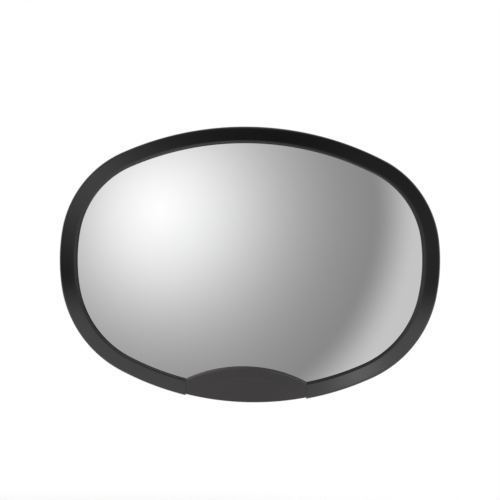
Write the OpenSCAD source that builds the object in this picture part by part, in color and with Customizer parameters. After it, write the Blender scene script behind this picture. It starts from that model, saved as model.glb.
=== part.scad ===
// Convex security mirror: an oblong domed mirror head on a wall bracket that pans, tilts and rolls.
// Millimetres, +Z up. The origin is the centre of the wall pad's back face; the wall is the plane
// y = 0 and the mirror looks along -Y.

/* [Head outline] */
// Overall width of the rim
head_w = 400; // [396:0.5:404]
// Overall height of the rim
head_h = 286.7; // [284:0.1:290]
// Height of the rim's widest line above the middle of the head
widest_z = 5.3; // [4:0.1:7]
// Radius of the arc along the top
top_r = 327; // [320:1:334]
// Radius of the two upper corners
shoulder_r = 107; // [100:1:112]
// Radius of the arcs at the sides
side_r = 194; // [188:1:200]
// Radius of the two lower corners
hip_r = 117; // [110:1:122]
// Radius of the arc along the bottom
bottom_r = 308; // [300:1:316]
// Angle between neighbouring points of the outline's arcs
arc_step = 3; // [2:1:6]

/* [Mirror] */
// Radius of the mirror's spherical face
dome_r = 420; // [400:5:460]
// Distance from the wall to the mirror's apex
reach = 213; // [213:1:230]
// Thickness of the acrylic
lens_t = 3; // [2:0.5:4]
// How far the mirror's edge lies inside the rim's outline
lens_inset = 10.6; // [10:0.2:12]
// Thickness of the foam behind the mirror
foam_t = 3; // [2:0.5:4]
// Thickness of the gasket under the rim
gasket_t = 0.6; // [0.4:0.1:0.8]

/* [Rim and back shell] */
// Width of the rim's band along the top and the bottom
band_ends = 16.7; // [16:0.1:17.5]
// Width of the rim's band at the sides
band_sides = 18.4; // [17.5:0.1:19]
// Thickness of the rim's band
band_t = 1.6; // [1.4:0.1:2.4]
// Thickness of the rim's outer wall
rim_wall_t = 2.5; // [2:0.1:3]
// Depth of the rim's outer wall behind the mirror's face
rim_depth = 14; // [12:0.5:16]
// Depth of the back shell behind the mirror's face
shell_depth = 21; // [20:0.5:22]
// Thickness of the back shell's floor
shell_t = 3; // [2.5:0.1:3.5]
// Thickness of the back shell's outer wall
shell_wall_t = 2; // [1.8:0.1:2]
// Thickness of the shell's stiffening ribs
rib_t = 2; // [1.5:0.1:3]
// Diameter of the flat pad that carries the swivel hub
pad_d = 84; // [80:1:88]

/* [Lower cover] */
// Half length of the cover
cover_half = 62.2; // [60:0.2:64]
// Radius of the cover's upper edge
cover_r = 142.5; // [140:0.5:146]
// Height of the cover at its middle
cover_h = 36.7; // [36:0.1:38]
// How far the cover's lower edge lies inside the rim's outline
cover_inset = 1.5; // [1:0.1:2]
// How far the cover's face stands above the mirror
cover_rise = 3.2; // [2.8:0.1:3.8]

/* [Wall plate] */
// Width of the wall plate
plate_w = 62; // [60:1:70]
// Height of the wall plate
plate_h = 112; // [108:1:120]
// Thickness of the wall plate
plate_t = 3; // [2.5:0.5:4]
// Thickness of the rubber pad behind the wall plate
wall_pad_t = 2; // [1.5:0.5:3]
// Distance between the wall screws across the plate
hole_x = 40; // [36:1:42]
// Distance between the wall screws up the plate
hole_z = 88; // [84:1:92]
// Diameter of the wall screw holes
hole_d = 6.6; // [5:0.1:7]

/* [Bracket] */
// Distance from the wall to the pan axis
pan_y = 32; // [30:1:36]
// Distance from the wall to the tilt axis
tilt_y = 132; // [130:1:134]
// Diameter of the pan and tilt bolts
bolt_d = 8; // [8:1:8]
// Outer diameter of the arm tube
tube_d = 22; // [20:1:23]
// Wall thickness of the arm tube
tube_t = 2; // [1.5:0.5:3]
// Inner distance between the pan ears
ear_gap = 36; // [36:1:40]
// Thickness of the pan ears
ear_t = 4; // [3:0.5:5]
// Inner distance between the tilt fork's arms
fork_gap = 24; // [24:1:26]
// Thickness of the tilt fork's arms
fork_t = 6; // [5:0.5:7]
// Diameter of the roll spigot
spigot_d = 16; // [14:1:18]
// Diameter of the swivel hub's barrel
hub_d = 34; // [32:1:38]
// Diameter of the swivel hub's flange
flange_d = 72; // [70:1:76]
// Diameter of the star knob
knob_d = 40; // [36:1:44]

/* [Hidden] */
$fn = 64;

// Clearances: between moulded pieces, in a running fit, between flat moving faces and round a bolt
gap = 0.1;
run = 0.05;
side_gap = 0.1;
bolt_play = 0.2;
// A cut that has to pass right through something goes this much further
over = 1;

// Smoothness of the large spheres
dome_fn = 200;
// More than the head's depth from its apex to the back of its sides
head_depth = 90;

// The middle of the mirror's sphere lies behind the wall
dome_y = dome_r - reach;

// Radii of the layers of the head, all about the middle of the mirror's sphere
lens_back_r = dome_r - lens_t;
foam_back_r = lens_back_r - gap - foam_t;
band_back_r = dome_r + gasket_t + gap;
band_r = band_back_r + band_t;
rim_back_r = dome_r - rim_depth;
shell_back_r = dome_r - shell_depth;
floor_r = shell_back_r + shell_t;
wall_top_r = dome_r - 1;
rib_top_r = foam_back_r - gap;
boss_split_r = dome_r - 9;
cover_face_r = dome_r + cover_rise;

// Insets of the head's walls from the rim's outline
shell_play = 0.3;
shell_inset = rim_wall_t + shell_play;
shell_inner = shell_inset + shell_wall_t;
ledge_t = 2.5;
ledge_outer = lens_inset + shell_play;
ledge_inner = ledge_outer + ledge_t;
boss_inset = 7.7;

// Screws that hold the rim and the cover: their angles round the right half of the outline
rim_screw_angles = [12, 45, 75, 105, 132, 160];
cover_screw_angle = 173.5;
rim_boss_d = 5.4;
shell_boss_d = 8.4;
screw_d = 3;
screw_head_d = 6.2;
screw_head_h = 2.4;
seat_depth = 2.6;
screw_tip_r = dome_r - 3;
rib_pairs = 6;
ring_rib_inset = 62;
foam_play = 0.5;
gasket_back = 0.6;
cover_play = 0.3;

// Places along the wall's normal
plate_front = wall_pad_t + plate_t;
pad_back = reach - shell_depth - 4;
pad_t = 5;
stiffener_t = 3;
stiffener_d = 66;
well_d = 70;
hub_length = 36;
hub_back = pad_back - hub_length;
flange_t = 6;
collar_t = 3;
collar_d = 30;
spigot_end = pad_back + gap;
m5_d = 5;
m5_head_r = 4.75;
m5_head_h = 3;
m5_key_d = 4.6;
m5_key_h = 1.6;
m5_hole_d = 5.5;
roll_screw_l = 16;
keeper_r = 11;
keeper_t = 2;
keeper_well_d = 26;
hub_screw_at = 27;
web_t = 4;
web_w = 9;
web_l = 22;
lock_y = hub_back + 14;
lock_d = 6;
lock_reach = 16;
grip_d = 18;
grip_h = 10;
grip_gap = 3;
grip_neck_d = 12;
grip_neck_h = 4;
grip_ridges = 12;
ridge_r = 1.1;

// The bracket's other sizes
plate_corner_r = 9;
ear_r = 15;
eye_r = 13;
socket_d = tube_d + 6;
eye_half = ear_gap / 2 - 1.8;
bush_flange_t = 1.7;
bush_r = 6;
bush_flange_r = 10.5;
bush_l = 10;
socket_depth = 18;
tube_start = pan_y + 16;
tube_end = tilt_y - 22;
pin_d = 4;
pin_bore_r = 1.2;
pin_at = socket_depth / 2;
fork_eye_r = 13;
yoke_t = 4;
disc_t = 2;
disc_r = 12;
knuckle_half = fork_gap / 2 - disc_t - side_gap;
neck_half = 9;
washer_t = 1.6;
washer_r = 9;
hex_d = 15;
hex_h = 5.3;
nut_h = 8;
nut_collar_h = 2.5;
nut_collar_r = 5.9;
bolt_tail = 11;
cup_head_d = 17;
cup_head_h = 4.5;
cup_head_r = 10.5;
bolt_proud = 1.5;
knob_start = fork_gap / 2 + fork_t + washer_t + side_gap;
knob_h = 16;
knob_collar_r = 9;
knob_collar_h = 4;
lobe_r = 6;
insert_r = 6;
insert_l = 14;
lobes = 5;

// ---- The oblong outline ----

// The point that lies ra from a and rb from b, on the +X side of the line between them
function meet(a, ra, b, rb) =
    let (
        d = norm(b - a),
        u = (b - a) / d,
        along = (ra * ra - rb * rb + d * d) / (2 * d),
        across = sqrt(ra * ra - along * along),
        right = u[1] > 0 ? [u[1], -u[0]] : [-u[1], u[0]]
    )
    a + along * u + across * right;

// Clockwise angle from +Z of the direction from a to b
function bearing(a, b) = atan2(b[0] - a[0], b[1] - a[1]);

// The five tangent arcs of the right half, from the top to the bottom, each as
// [centre, radius, first angle, last angle]; the insets move the outline inwards
function arcs(side, ends) =
    let (
        corner = (side + ends) / 2,
        top = [0, head_h / 2 - top_r],
        flank = [head_w / 2 - side_r, widest_z],
        bottom = [0, bottom_r - head_h / 2],
        shoulder_cut = shoulder_r - corner,
        hip_cut = hip_r - corner,
        shoulder = meet(top, top_r - ends - shoulder_cut, flank, side_r - side - shoulder_cut),
        hip = meet(bottom, bottom_r - ends - hip_cut, flank, side_r - side - hip_cut),
        a1 = bearing(top, shoulder),
        a2 = bearing(flank, shoulder),
        a3 = bearing(flank, hip),
        a4 = bearing(bottom, hip)
    )
    [
        [top, top_r - ends, 0, a1],
        [shoulder, shoulder_cut, a1, a2],
        [flank, side_r - side, a2, a3],
        [hip, hip_cut, a3, a4],
        [bottom, bottom_r - ends, a4, 180]
    ];

// The point of an arc at a clockwise angle from +Z
function on_arc(arc, angle) = arc[0] + arc[1] * [sin(angle), cos(angle)];

// The points of one arc, without its last
function arc_points(arc) =
    let (steps = ceil((arc[3] - arc[2]) / arc_step))
    [for (i = [0:steps - 1]) on_arc(arc, arc[2] + i * (arc[3] - arc[2]) / steps)];

// The point of the outline at a clockwise angle from +Z, on its right half
function outline_point(angle, inset) =
    let (hits = [for (arc = arcs(inset, inset)) if (angle >= arc[2] && angle <= arc[3]) arc])
    on_arc(hits[0], angle);

// The outline as an area, moved inwards by the insets
module oblong(side, ends) {
    half = [for (arc = arcs(side, ends)) for (p = arc_points(arc)) p];
    low = [0, ends - head_h / 2];
    left = [for (i = [len(half) - 1:-1:1]) [-half[i][0], half[i][1]]];
    polygon(concat(half, [low], left));
}

// ---- Building blocks ----

// Stands a flat shape up, facing the room, between two distances from the wall
module stand(from, to) {
    translate([0, -from, 0])
        rotate([90, 0, 0])
            linear_extrude(to - from)
                children();
}

// A ball about the middle of the mirror's sphere
module ball(r) {
    translate([0, dome_y, 0])
        sphere(r, $fn = dome_fn);
}

// The part of a flat shape's prism that lies between two of the head's layers
module layer(inner_r, outer_r) {
    difference() {
        intersection() {
            stand(reach - head_depth, reach + over)
                children();
            ball(outer_r);
        }
        ball(inner_r);
    }
}

// A ring between two insets of the outline
module oblong_ring(outer, inner) {
    difference() {
        oblong(outer, outer);
        oblong(inner, inner);
    }
}

// Discs on the screw positions, on both halves
module at_screws(angles) {
    for (angle = angles, side = [-1, 1]) {
        p = outline_point(angle, boss_inset);
        translate([side * p[0], p[1]])
            children();
    }
}

// A cylinder along Y between two distances from the wall
module rod_y(d, from, to) {
    translate([0, -from, 0])
        rotate([90, 0, 0])
            cylinder(h = to - from, d = d);
}

// A cylinder along X between two places
module rod_x(d, from, to) {
    translate([from, 0, 0])
        rotate([0, 90, 0])
            cylinder(h = to - from, d = d);
}

// A washer about Z
module washer(inner_r, outer_r, t) {
    difference() {
        cylinder(h = t, r = outer_r);
        translate([0, 0, -over])
            cylinder(h = t + 2 * over, r = inner_r);
    }
}

// Distance from the wall of the shell's back surface at a point of the head
function shell_back_at(p) = sqrt(shell_back_r * shell_back_r - p[0] * p[0] - p[1] * p[1]) - dome_y;
function tip_at(p) = sqrt(screw_tip_r * screw_tip_r - p[0] * p[0] - p[1] * p[1]) - dome_y;

// Runs its children at each screw, with the distances of its seat and tip from the wall
module shell_screws(angles) {
    for (angle = angles, side = [-1, 1]) {
        p = outline_point(angle, boss_inset);
        seat = shell_back_at(p) + seat_depth;
        translate([side * p[0], 0, p[1]]) {
            rod_y(screw_head_d, seat - screw_head_h, seat);
            rod_y(screw_d, seat - gap, tip_at(p));
        }
    }
}

// Room for the same screws in the back shell
module shell_screw_holes(angles) {
    for (angle = angles, side = [-1, 1]) {
        p = outline_point(angle, boss_inset);
        seat = shell_back_at(p) + seat_depth;
        translate([side * p[0], 0, p[1]]) {
            rod_y(screw_head_d + 1, seat - shell_depth / 2, seat);
            rod_y(screw_d + 2 * gap, seat - over, tip_at(p) + over);
        }
    }
}

// ---- Wall bracket ----

module plate_outline(w, h, r) {
    square([w - 2 * r, h], center = true);
    square([w, h - 2 * r], center = true);
    for (x = [-1, 1], z = [-1, 1])
        translate([x * (w / 2 - r), z * (h / 2 - r)])
            circle(r);
}

module wall_holes() {
    for (x = [-1, 1], z = [-1, 1])
        translate([x * hole_x / 2, z * hole_z / 2])
            circle(d = hole_d);
}

module wall_pad() {
    color("#26272a")
        stand(0, wall_pad_t)
            difference() {
                plate_outline(plate_w + 2 * over, plate_h + 2 * over, plate_corner_r + over);
                wall_holes();
            }
}

// One pan ear, lying flat, from the plate to the rounded end about the pan axis
module pan_ear() {
    difference() {
        union() {
            translate([-ear_r, -pan_y, 0])
                cube([2 * ear_r, pan_y - plate_front + over, ear_t]);
            translate([0, -pan_y, 0])
                cylinder(h = ear_t, r = ear_r);
        }
        translate([0, -pan_y, -over])
            cylinder(h = ear_t + 2 * over, d = bolt_d + 2 * bolt_play);
    }
}

module wall_plate() {
    color("#1d1e20") {
        stand(wall_pad_t, plate_front)
            difference() {
                plate_outline(plate_w, plate_h, plate_corner_r);
                wall_holes();
            }
        translate([0, 0, ear_gap / 2])
            pan_ear();
        translate([0, 0, -ear_gap / 2 - ear_t])
            pan_ear();
    }
}

module pan_bolt() {
    top = ear_gap / 2 + ear_t + washer_t;
    color("#b9bcc0")
        translate([0, -pan_y, 0]) {
            translate([0, 0, -top - bolt_tail])
                cylinder(h = 2 * top + bolt_tail + over, d = bolt_d);
            translate([0, 0, top])
                cylinder(h = hex_h, d = hex_d, $fn = 6);
        }
}

module pan_washers() {
    color("#c3c6c9")
        for (z = [ear_gap / 2 + ear_t, -ear_gap / 2 - ear_t - washer_t])
            translate([0, -pan_y, z])
                washer(bolt_d / 2 + bolt_play, washer_r, washer_t);
}

module pan_nut() {
    top = ear_gap / 2 + ear_t + washer_t;
    color("#b9bcc0")
        translate([0, -pan_y, -top - nut_h])
            difference() {
                union() {
                    translate([0, 0, nut_collar_h])
                        cylinder(h = nut_h - nut_collar_h, d = hex_d, $fn = 6);
                    cylinder(h = nut_collar_h + over, r = nut_collar_r);
                }
                translate([0, 0, -over])
                    cylinder(h = nut_h + 2 * over, r = bolt_d / 2 + run);
            }
}

// ---- Arm ----

module wall_eye() {
    color("#1b1c1e")
        difference() {
            union() {
                translate([0, -pan_y, -eye_half])
                    cylinder(h = 2 * eye_half, r = eye_r);
                rod_y(socket_d, pan_y, tube_start + socket_depth);
            }
            translate([0, -pan_y, -eye_half - over])
                cylinder(h = 2 * (eye_half + over), r = bush_r + run);
            rod_y(tube_d + 2 * run, tube_start, tube_start + socket_depth + over);
            translate([0, -tube_start - pin_at, -socket_d])
                cylinder(h = 2 * socket_d, d = pin_d + 2 * run);
        }
}

// Two flanged bushes between the bolt and the eye
module pan_bushes() {
    color("#d8d5c8")
        for (z = [-1, 1])
            translate([0, -pan_y, 0])
                mirror([0, 0, z < 0 ? 1 : 0])
                    difference() {
                        union() {
                            translate([0, 0, eye_half - bush_l])
                                cylinder(h = bush_l + over, r = bush_r);
                            translate([0, 0, eye_half])
                                cylinder(h = bush_flange_t, r = bush_flange_r);
                        }
                        translate([0, 0, eye_half - bush_l - over])
                            cylinder(h = 2 * bush_l, r = bolt_d / 2 + run);
                    }
}

module arm_tube() {
    color("#202124")
        difference() {
            rod_y(tube_d, tube_start, tube_end);
            rod_y(tube_d - 2 * tube_t, tube_start - over, tube_end + over);
            for (y = [tube_start + pin_at, tube_end - pin_at])
                translate([0, -y, -tube_d])
                    cylinder(h = 2 * tube_d, d = pin_d + 2 * run);
        }
}

module arm_pins() {
    color("#8d9094")
        for (y = [tube_start + pin_at, tube_end - pin_at])
            translate([0, -y, -socket_d / 2])
                washer(pin_bore_r, pin_d / 2, socket_d);
}

// The side view of one fork arm, from its root to the rounded end about the tilt axis
module fork_side() {
    translate([tube_end, -fork_eye_r])
        square([tilt_y - tube_end, 2 * fork_eye_r]);
    translate([tilt_y, 0])
        circle(fork_eye_r);
}

module tilt_fork() {
    color("#1b1c1e")
        difference() {
            union() {
                rod_y(socket_d, tube_end - socket_depth, tube_end + over);
                translate([-fork_gap / 2 - fork_t, -tube_end - yoke_t, -fork_eye_r])
                    cube([fork_gap + 2 * fork_t, yoke_t, 2 * fork_eye_r]);
                for (x = [-fork_gap / 2 - fork_t, fork_gap / 2])
                    translate([x, 0, 0])
                        rotate([90, 0, -90])
                            mirror([0, 0, 1])
                                linear_extrude(fork_t)
                                    fork_side();
            }
            rod_y(tube_d + 2 * run, tube_end - socket_depth - over, tube_end);
            translate([0, -tube_end + pin_at, -socket_d])
                cylinder(h = 2 * socket_d, d = pin_d + 2 * run);
            translate([0, -tilt_y, 0])
                rod_x(bolt_d + 2 * bolt_play, -fork_gap, fork_gap);
        }
}

module tilt_bolt() {
    head_x = -fork_gap / 2 - fork_t;
    color("#b9bcc0")
        translate([0, -tilt_y, 0])
            union() {
                rod_x(bolt_d, head_x - over, knob_start + knob_h + bolt_proud);
                intersection() {
                    rod_x(cup_head_d, head_x - cup_head_r, head_x);
                    translate([head_x + cup_head_r - cup_head_h, 0, 0])
                        sphere(cup_head_r);
                }
            }
}

module tilt_washer() {
    color("#c3c6c9")
        translate([fork_gap / 2 + fork_t, -tilt_y, 0])
            rotate([0, 90, 0])
                washer(bolt_d / 2 + bolt_play, washer_r, washer_t);
}

// Star grip: a round core with lobes and a collar towards the fork
module tilt_knob() {
    color("#17181a")
        translate([knob_start, -tilt_y, 0])
            rotate([0, 90, 0])
                difference() {
                    union() {
                        cylinder(h = knob_collar_h + over, r = knob_collar_r);
                        translate([0, 0, knob_collar_h])
                            cylinder(h = knob_h - knob_collar_h, r = knob_d / 2 - lobe_r + over);
                        for (i = [0:lobes - 1])
                            rotate(i * 360 / lobes)
                                translate([knob_d / 2 - lobe_r, 0, knob_collar_h])
                                    cylinder(h = knob_h - knob_collar_h, r = lobe_r);
                    }
                    translate([0, 0, -over])
                        cylinder(h = insert_l + over, r = insert_r + run);
                    cylinder(h = knob_h + over, r = bolt_d / 2 + bolt_play);
                }
}

module knob_insert() {
    color("#b08d3c")
        translate([knob_start, -tilt_y, 0])
            rotate([0, 90, 0])
                washer(bolt_d / 2 + run, insert_r, insert_l);
}

// ---- Tilt knuckle and roll spigot ----

module tilt_knuckle() {
    neck_end = hub_back - side_gap;
    color("#2a2b2e")
        difference() {
            union() {
                translate([0, -tilt_y, 0])
                    rod_x(2 * fork_eye_r, -knuckle_half, knuckle_half);
                translate([-neck_half, -neck_end + collar_t - over, -neck_half])
                    cube([2 * neck_half, neck_end - collar_t + over - tilt_y, 2 * neck_half]);
                rod_y(collar_d, neck_end - collar_t, neck_end);
                rod_y(spigot_d, neck_end - over, spigot_end);
            }
            translate([0, -tilt_y, 0])
                rod_x(bolt_d + 2 * run, -fork_gap, fork_gap);
            rod_y(m5_d + 2 * run, spigot_end - roll_screw_l - over, spigot_end + over);
        }
}

module friction_discs() {
    color("#8c8f86")
        for (x = [-knuckle_half - disc_t, knuckle_half])
            translate([x, -tilt_y, 0])
                rotate([0, 90, 0])
                    washer(bolt_d / 2 + run, disc_r, disc_t);
}

// A socket head that stands on z = 0
module m5_head() {
    difference() {
        cylinder(h = m5_head_h, r = m5_head_r);
        translate([0, 0, m5_head_h - m5_key_h])
            cylinder(h = m5_head_h, d = m5_key_d, $fn = 6);
    }
}

module roll_washer() {
    color("#c3c6c9")
        translate([0, -spigot_end, 0])
            rotate([90, 0, 0])
                washer(m5_d / 2 + bolt_play, keeper_r, keeper_t);
}

module roll_screw() {
    color("#b9bcc0") {
        rod_y(m5_d, spigot_end - roll_screw_l, spigot_end + keeper_t + over);
        translate([0, -spigot_end - keeper_t, 0])
            rotate([90, 0, 0])
                m5_head();
    }
}

// ---- Head ----

module hub_pattern() {
    for (i = [0:3])
        rotate(45 + 90 * i)
            translate([hub_screw_at, 0])
                children();
}

module swivel_hub() {
    color("#1b1c1e")
        difference() {
            union() {
                stand(pad_back - flange_t, pad_back)
                    circle(d = flange_d);
                rod_y(hub_d, hub_back, pad_back - over);
                for (i = [0:3])
                    rotate([0, 90 * i, 0])
                        translate([0, -pad_back + flange_t - over, -web_t / 2])
                            cube([web_l, web_w, web_t]);
            }
            rod_y(spigot_d + 2 * run, hub_back - over, pad_back + over);
            stand(pad_back - flange_t - over, pad_back + over)
                hub_pattern()
                    circle(d = m5_hole_d);
            translate([0, -lock_y, -hub_d])
                cylinder(h = hub_d, d = lock_d + 2 * run);
        }
}

module hub_screws() {
    back = pad_back - flange_t;
    color("#b9bcc0")
        for (i = [0:3])
            rotate([0, 45 + 90 * i, 0])
                translate([hub_screw_at, 0, 0]) {
                    rod_y(m5_d, back - over, pad_back + pad_t + stiffener_t + 2 * over);
                    translate([0, -back, 0])
                        rotate([-90, 0, 0])
                            m5_head();
                }
}

module stiffener_plate() {
    color("#a9acb0")
        stand(pad_back + pad_t + gap, pad_back + pad_t + gap + stiffener_t - gap)
            difference() {
                circle(d = stiffener_d);
                circle(d = keeper_well_d);
                hub_pattern()
                    circle(d = m5_d + 2 * run);
            }
}

// Ribs that run from the hub's pad to the ledge, and one ring between them
module rib_lines() {
    difference() {
        union() {
            for (i = [0:rib_pairs - 1])
                rotate((i + 0.5) * 180 / rib_pairs)
                    square([2 * head_w, rib_t], center = true);
            oblong_ring(ring_rib_inset, ring_rib_inset + rib_t);
        }
        circle(d = pad_d - 2 * rib_t);
    }
}

module back_shell() {
    color("#141517")
        difference() {
            union() {
                layer(shell_back_r, floor_r)
                    oblong(shell_inset, shell_inset);
                layer(shell_back_r + over, wall_top_r)
                    oblong_ring(shell_inset, shell_inner);
                layer(shell_back_r + over, lens_back_r - gap)
                    oblong_ring(ledge_outer, ledge_inner);
                layer(shell_back_r + over, rib_top_r)
                    intersection() {
                        rib_lines();
                        oblong(ledge_inner - over, ledge_inner - over);
                    }
                layer(shell_back_r + over, boss_split_r - gap)
                    at_screws(concat(rim_screw_angles, [cover_screw_angle]))
                        circle(d = shell_boss_d);
                rod_y(pad_d, pad_back, pad_back + pad_t + stiffener_t);
            }
            rod_y(well_d, pad_back + pad_t, reach);
            rod_y(keeper_well_d, pad_back - over, reach);
            stand(pad_back - over, reach)
                hub_pattern()
                    circle(d = m5_hole_d);
            shell_screw_holes(concat(rim_screw_angles, [cover_screw_angle]));
        }
}

module foam_pad() {
    color("#3a3b3d")
        layer(foam_back_r, lens_back_r - gap)
            oblong(ledge_inner + foam_play, ledge_inner + foam_play);
}

module mirror_lens() {
    color("#c9cdd1")
        layer(lens_back_r, dome_r)
            oblong(lens_inset, lens_inset);
}

module edge_gasket() {
    color("#101112")
        layer(dome_r + gap / 2, dome_r + gasket_t)
            difference() {
                oblong(lens_inset, lens_inset);
                oblong(band_sides - gasket_back, band_ends - gasket_back);
            }
}

// The place along the bottom that the rim leaves open for the cover
module cover_gap(half) {
    translate([-half, -head_h])
        square([2 * half, head_h]);
}

module rim_frame() {
    color("#1a1a1b")
        difference() {
            union() {
                layer(band_back_r, band_r)
                    difference() {
                        oblong(0, 0);
                        oblong(band_sides, band_ends);
                        cover_gap(cover_half + cover_play);
                    }
                layer(rim_back_r, band_r - over)
                    difference() {
                        oblong_ring(0, rim_wall_t);
                        cover_gap(cover_half + cover_play);
                    }
                layer(boss_split_r, band_r - over)
                    at_screws(rim_screw_angles)
                        circle(d = rim_boss_d);
            }
            layer(boss_split_r - over, screw_tip_r + over)
                at_screws(rim_screw_angles)
                    circle(d = screw_d + 2 * gap);
        }
}

module rim_screws() {
    color("#2c2d2f")
        shell_screws(rim_screw_angles);
}

// The cover's face: a lens between its own upper arc and the lower edge of the head
module cover_outline() {
    top_z = cover_inset + cover_h - head_h / 2;
    intersection() {
        translate([0, top_z - cover_r])
            circle(cover_r, $fn = dome_fn);
        oblong(cover_inset, cover_inset);
        cover_gap(cover_half);
    }
}

module lower_cover() {
    color("#232122")
        difference() {
            union() {
                layer(dome_r + gasket_t + gap, cover_face_r)
                    cover_outline();
                layer(rim_back_r, cover_face_r - over)
                    intersection() {
                        oblong_ring(cover_inset, rim_wall_t);
                        cover_gap(cover_half);
                    }
                layer(boss_split_r, cover_face_r - over)
                    at_screws([cover_screw_angle])
                        circle(d = rim_boss_d);
            }
            layer(boss_split_r - over, screw_tip_r + over)
                at_screws([cover_screw_angle])
                    circle(d = screw_d + 2 * gap);
        }
}

module cover_screws() {
    color("#2c2d2f")
        shell_screws([cover_screw_angle]);
}

// ---- Roll lock ----

module lock_screw() {
    tail = hub_d / 2 + lock_reach;
    color("#b9bcc0")
        translate([0, -lock_y, -tail])
            cylinder(h = tail - spigot_d / 2 - side_gap, d = lock_d);
}

module lock_knob() {
    color("#17181a")
        translate([0, -lock_y, -hub_d / 2 - grip_gap - grip_neck_h - grip_h])
            difference() {
                union() {
                    cylinder(h = grip_h, d = grip_d);
                    translate([0, 0, grip_h - over])
                        cylinder(h = grip_neck_h + over, d = grip_neck_d);
                    for (i = [0:grip_ridges - 1])
                        rotate(i * 360 / grip_ridges)
                            translate([grip_d / 2, 0, 0])
                                cylinder(h = grip_h, r = ridge_r, $fn = 16);
                }
                translate([0, 0, over])
                    cylinder(h = grip_h + grip_neck_h, d = lock_d + 2 * run);
            }
}

wall_pad();
wall_plate();
pan_bolt();
pan_washers();
pan_nut();
wall_eye();
pan_bushes();
arm_tube();
arm_pins();
tilt_fork();
tilt_bolt();
tilt_washer();
tilt_knob();
knob_insert();
tilt_knuckle();
friction_discs();
roll_washer();
roll_screw();
swivel_hub();
hub_screws();
stiffener_plate();
back_shell();
foam_pad();
mirror_lens();
edge_gasket();
rim_frame();
rim_screws();
lower_cover();
cover_screws();
lock_screw();
lock_knob();
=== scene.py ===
"""Looks of a convex security mirror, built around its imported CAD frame.

Metres, +Z up. The wall is the plane y = 0 and the mirror looks along -Y.
"""
import math

import bmesh
import bpy
from mathutils import Matrix, Vector


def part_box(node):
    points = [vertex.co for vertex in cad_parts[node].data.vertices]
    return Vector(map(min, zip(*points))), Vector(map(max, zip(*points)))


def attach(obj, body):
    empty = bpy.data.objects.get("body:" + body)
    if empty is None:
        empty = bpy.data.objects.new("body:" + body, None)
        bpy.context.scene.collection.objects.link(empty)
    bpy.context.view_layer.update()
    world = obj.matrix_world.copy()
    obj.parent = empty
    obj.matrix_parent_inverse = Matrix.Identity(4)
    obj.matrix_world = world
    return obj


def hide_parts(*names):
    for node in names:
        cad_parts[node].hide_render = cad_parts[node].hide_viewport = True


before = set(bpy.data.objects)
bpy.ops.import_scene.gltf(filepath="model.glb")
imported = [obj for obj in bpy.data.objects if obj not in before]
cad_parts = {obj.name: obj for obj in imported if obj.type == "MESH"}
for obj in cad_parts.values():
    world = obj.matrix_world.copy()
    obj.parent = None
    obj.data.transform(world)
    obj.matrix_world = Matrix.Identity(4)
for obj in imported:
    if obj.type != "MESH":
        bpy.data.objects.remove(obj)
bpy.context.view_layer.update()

MM = 0.001

# ---------------------------------------------------------------- the head's sizes

RIM_LOW, RIM_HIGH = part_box("rim_frame")
HEAD_W = RIM_HIGH.x - RIM_LOW.x
HEAD_TOP = RIM_HIGH.z

# A program fitted the arcs to the photo's outline, for a chosen width, lens and dome, and then they were
# rounded
WIDEST_Z = 5.3 * MM
TOP_R = 327 * MM
SHOULDER_R = 107 * MM
SIDE_R = 194 * MM
HIP_R = 117 * MM
BOTTOM_R = 308 * MM
ARC_STEPS = (22, 26, 10, 26, 22)

# The mirror's sphere: its apex is the lens's front, and its middle lies behind the wall
DOME_R = 420 * MM
APEX_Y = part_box("mirror_lens")[0].y
DOME_Y = APEX_Y + DOME_R

LENS_T = 3 * MM
LENS_INSET = 10.6 * MM
BAND_ENDS = 16.7 * MM
BAND_SIDES = 18.4 * MM

# Layers of the head, as radii about the middle of the mirror's sphere
BAND_T = 1.6 * MM
BAND_BACK_R = DOME_R + 0.7 * MM
BAND_R = BAND_BACK_R + BAND_T
RIM_BACK_R = DOME_R - 14 * MM
# A skirt on the rim and the cover reaches down to the mirror and hides the gasket
SKIRT_T = 0.5 * MM
SKIRT_FOOT_R = DOME_R + 0.1 * MM
RIM_WALL_T = 2.5 * MM
RIM_GAP_HALF = 62.5 * MM

COVER_HALF = 62.35 * MM
COVER_R = 142.5 * MM
COVER_H = 36.7 * MM
COVER_INSET = 1.5 * MM
COVER_FACE_R = DOME_R + 3.2 * MM


# ---------------------------------------------------------------- the oblong outline

def meet(a, ra, b, rb):
    """The point that lies ra from a and rb from b, on the +X side of the line between them."""
    line = b - a
    d = line.length
    u = line / d
    along = (ra * ra - rb * rb + d * d) / (2 * d)
    across = math.sqrt(ra * ra - along * along)
    right = Vector((u.y, -u.x)) if u.y > 0 else Vector((-u.y, u.x))
    return a + u * along + right * across


def bearing(a, b):
    """Clockwise angle from +Z of the direction from a to b."""
    return math.atan2(b.x - a.x, b.y - a.y)


def arcs(side, ends):
    """The five tangent arcs of the right half, from the top to the bottom, moved in by the insets."""
    corner = (side + ends) / 2
    top = Vector((0, HEAD_TOP - TOP_R))
    flank = Vector((HEAD_W / 2 - SIDE_R, WIDEST_Z))
    bottom = Vector((0, BOTTOM_R - HEAD_TOP))
    shoulder_cut = SHOULDER_R - corner
    hip_cut = HIP_R - corner
    shoulder = meet(top, TOP_R - ends - shoulder_cut, flank, SIDE_R - side - shoulder_cut)
    hip = meet(bottom, BOTTOM_R - ends - hip_cut, flank, SIDE_R - side - hip_cut)
    turns = (0, bearing(top, shoulder), bearing(flank, shoulder),
             bearing(flank, hip), bearing(bottom, hip), math.pi)
    centres = (top, shoulder, flank, hip, bottom)
    radii = (TOP_R - ends, shoulder_cut, SIDE_R - side, hip_cut, BOTTOM_R - ends)
    return list(zip(centres, radii, turns, turns[1:]))


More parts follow.
